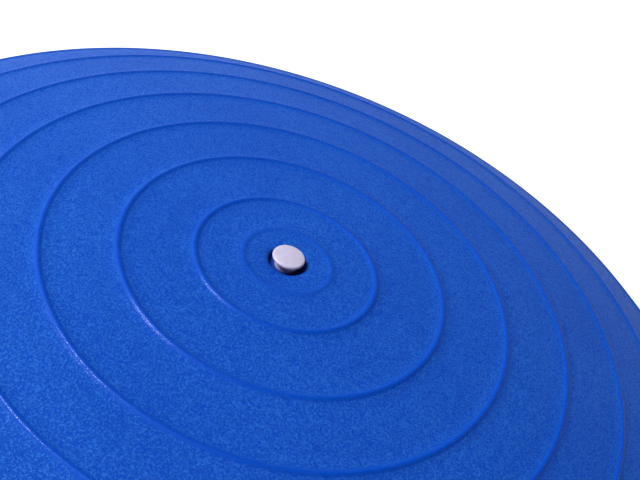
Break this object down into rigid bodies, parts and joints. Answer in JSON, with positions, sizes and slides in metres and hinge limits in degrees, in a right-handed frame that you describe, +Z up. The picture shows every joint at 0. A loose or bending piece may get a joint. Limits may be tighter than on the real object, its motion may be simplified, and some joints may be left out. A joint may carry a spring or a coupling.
{
  "type": "balance dome trainer",
  "caption": "Inflated ribbed rubber-like half ball on a round hard platform, with a press-in air plug at the crown and hand holds below.",
  "frame": {"origin": "centre of the floor plane that the feet stand on", "axes": "+Z up through the crown and the air plug, +X towards one of the two hand holds"},
  "size_m": [0.6099, 0.61, 0.1844],
  "materials": {
    "dome_skin": "matte, fine pebble grain",
    "valve_boot": "satin",
    "plug_plastic": "satin",
    "rim_plastic": "fine matte texture",
    "deck_plastic": "matte",
    "tray_plastic": "matte",
    "grip_rubber": "soft matte",
    "mat_rubber": "matte, ringed",
    "foot_rubber": "soft matte",
    "screw_steel": "zinc plated"
  },
  "bodies": {
    "trainer": {"dome_bladder": "dome_skin", "valve_seat": "valve_boot", "bead_hoop": "screw_steel", "standing_mat": "mat_rubber", "clamp_ring": "rim_plastic", "deck": "deck_plastic", "tray": "tray_plastic", "grip_left": "grip_rubber", "grip_right": "grip_rubber", "rim_screws": "screw_steel", "deck_screws": "screw_steel", "foot_1": "foot_rubber", "foot_2": "foot_rubber", "foot_3": "foot_rubber", "foot_4": "foot_rubber", "foot_5": "foot_rubber", "foot_6": "foot_rubber", "foot_7": "foot_rubber", "foot_8": "foot_rubber"},
    "plug": {"air_plug": "plug_plastic"}
  },
  "joints": [
    {"name": "plug_slide", "type": "slide", "parent": "trainer", "child": "plug", "axis": [0, 0, 1], "range_m": [0, 0.042]}
  ]
}
